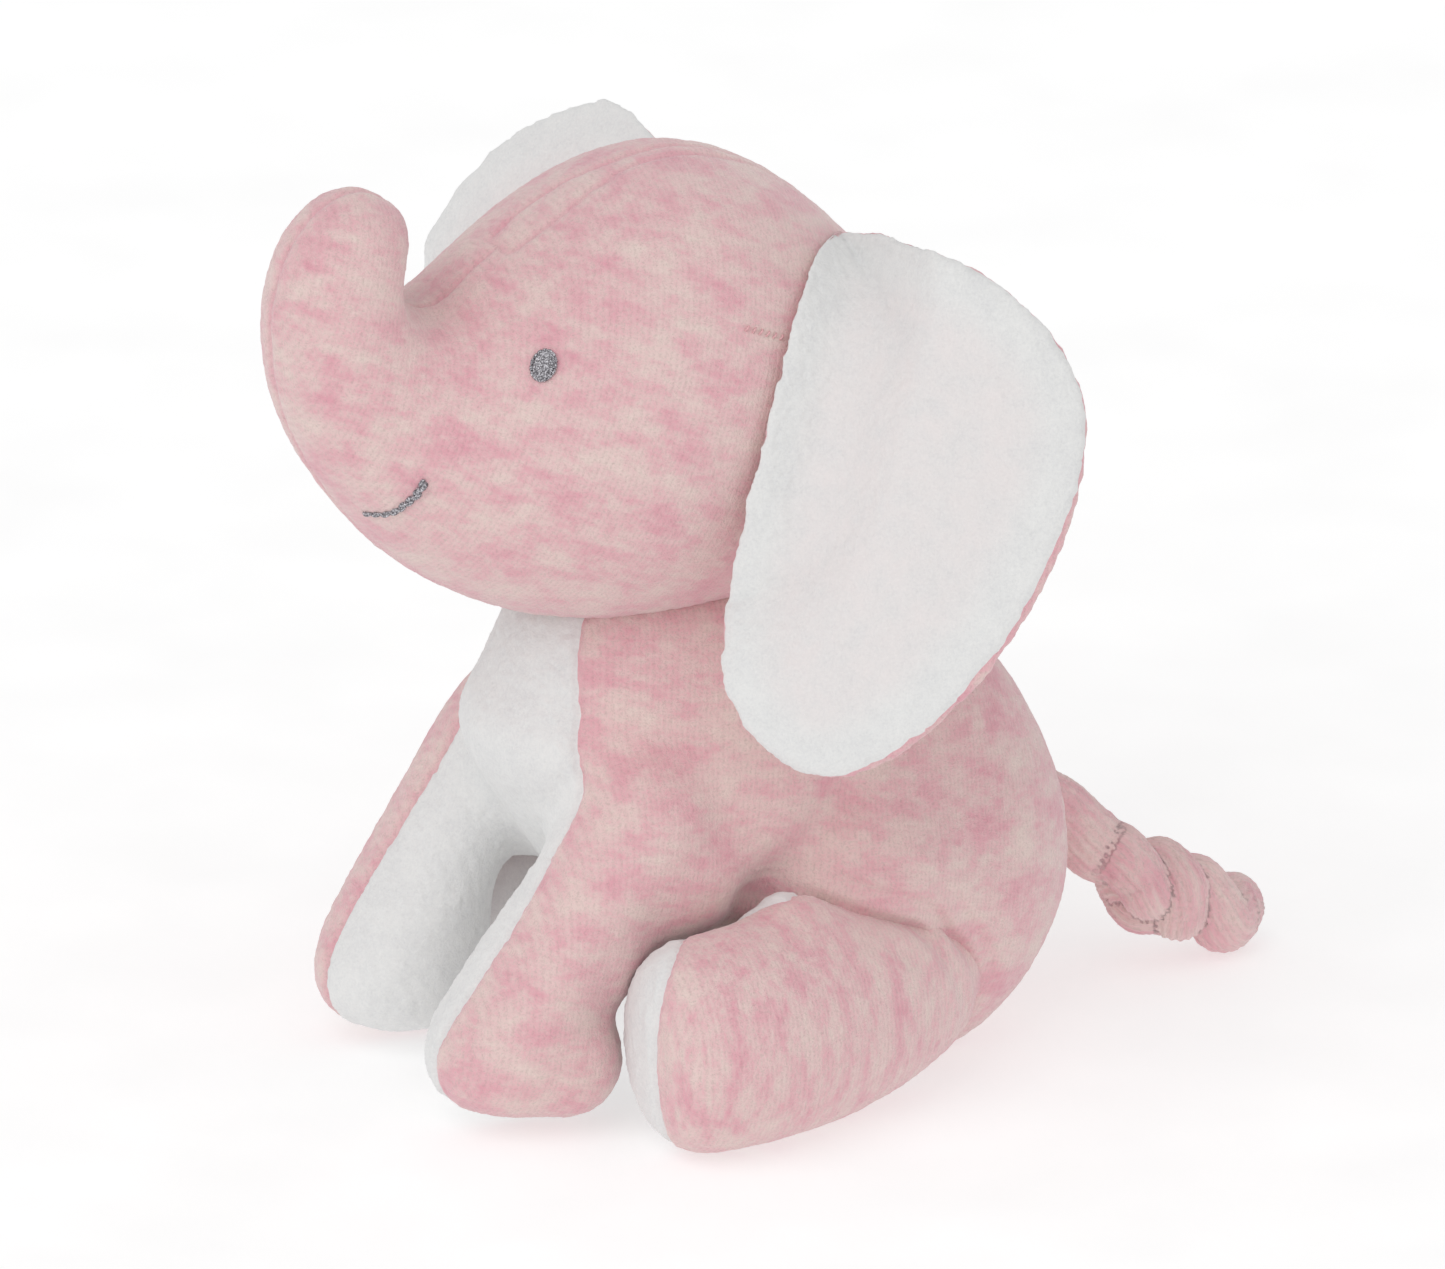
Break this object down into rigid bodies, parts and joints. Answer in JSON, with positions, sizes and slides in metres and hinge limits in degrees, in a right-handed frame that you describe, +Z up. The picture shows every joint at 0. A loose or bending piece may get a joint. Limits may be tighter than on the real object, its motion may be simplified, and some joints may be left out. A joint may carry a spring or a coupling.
{
  "type": "stuffed elephant",
  "caption": "Small seated plush elephant with a raised trunk, big floppy ears, hind legs stretched forward and a knotted tail.",
  "frame": {"origin": "middle of the flat seat panel, on the surface that the elephant sits on", "axes": "+Z up, -Y the way the elephant faces, +X its left side"},
  "size_m": [0.1822, 0.1978, 0.1734],
  "materials": {
    "pink_velour": "matte",
    "white_minky": "matte",
    "polyester_fill": "matte",
    "silver_thread": "satin",
    "pink_thread": "matte"
  },
  "bodies": {
    "body": {"body_left_panel": "pink_velour", "body_right_panel": "pink_velour", "chest_panel": "white_minky", "seat_panel": "white_minky", "body_stuffing": "polyester_fill"},
    "neck": {"neck_seam": "pink_thread"},
    "head": {"head_left_panel": "pink_velour", "head_right_panel": "pink_velour", "head_gusset": "pink_velour", "head_stuffing": "polyester_fill", "eye_left": "silver_thread", "eye_right": "silver_thread", "smile_left": "silver_thread", "smile_right": "silver_thread"},
    "ear_left": {"ear_left_white_panel": "white_minky", "ear_left_pink_panel": "pink_velour", "ear_left_batting": "polyester_fill"},
    "ear_right": {"ear_right_white_panel": "white_minky", "ear_right_pink_panel": "pink_velour", "ear_right_batting": "polyester_fill"},
    "front_leg_left": {"front_leg_left_outer_panel": "pink_velour", "front_leg_left_inner_panel": "white_minky", "front_leg_left_stuffing": "polyester_fill"},
    "front_leg_right": {"front_leg_right_outer_panel": "pink_velour", "front_leg_right_inner_panel": "white_minky", "front_leg_right_stuffing": "polyester_fill"},
    "hind_leg_left": {"hind_leg_left_outer_panel": "pink_velour", "hind_leg_left_inner_panel": "white_minky", "hind_leg_left_stuffing": "polyester_fill"},
    "hind_leg_right": {"hind_leg_right_outer_panel": "pink_velour", "hind_leg_right_inner_panel": "white_minky", "hind_leg_right_stuffing": "polyester_fill"},
    "tail": {"tail": "pink_velour"}
  },
  "joints": [
    {"name": "head_turn", "type": "hinge", "parent": "body", "child": "neck", "pos_m": [0, -0.025, 0.0814], "axis": [0, 0, 1], "range_deg": [-12, 12], "stiffness_Nm_per_rad": 0.3},
    {"name": "head_nod", "type": "hinge", "parent": "neck", "child": "head", "pos_m": [0, -0.025, 0.0814], "axis": [1, 0, 0], "range_deg": [-8, 6], "stiffness_Nm_per_rad": 0.6},
    {"name": "ear_left_flop", "type": "hinge", "parent": "head", "child": "ear_left", "pos_m": [0.041, -0.017, 0.167], "axis": [-0.1322, 0.3173, 0.9391], "range_deg": [-45, 8], "stiffness_Nm_per_rad": 0.02},
    {"name": "ear_right_flop", "type": "hinge", "parent": "head", "child": "ear_right", "pos_m": [-0.05, -0.0075, 0.157], "axis": [-0.1526, 0, 0.9883], "range_deg": [-55, 12], "stiffness_Nm_per_rad": 0.02},
    {"name": "front_leg_left_swing", "type": "hinge", "parent": "body", "child": "front_leg_left", "pos_m": [0.028, -0.047, 0.054], "axis": [-1, 0, 0], "range_deg": [0, 30], "stiffness_Nm_per_rad": 0.02},
    {"name": "front_leg_right_swing", "type": "hinge", "parent": "body", "child": "front_leg_right", "pos_m": [-0.028, -0.047, 0.054], "axis": [-1, 0, 0], "range_deg": [0, 30], "stiffness_Nm_per_rad": 0.02},
    {"name": "hind_leg_left_splay", "type": "hinge", "parent": "body", "child": "hind_leg_left", "pos_m": [0.037, -0.002, 0.02], "axis": [0, 0, 1], "range_deg": [0, 25], "stiffness_Nm_per_rad": 0.03},
    {"name": "hind_leg_right_splay", "type": "hinge", "parent": "body", "child": "hind_leg_right", "pos_m": [-0.037, -0.002, 0.02], "axis": [0, 0, -1], "range_deg": [0, 25], "stiffness_Nm_per_rad": 0.03},
    {"name": "tail_swing", "type": "hinge", "parent": "body", "child": "tail", "pos_m": [0, 0.051, 0.033], "axis": [0, 0, 1], "range_deg": [-35, 35], "stiffness_Nm_per_rad": 0.01}
  ]
}
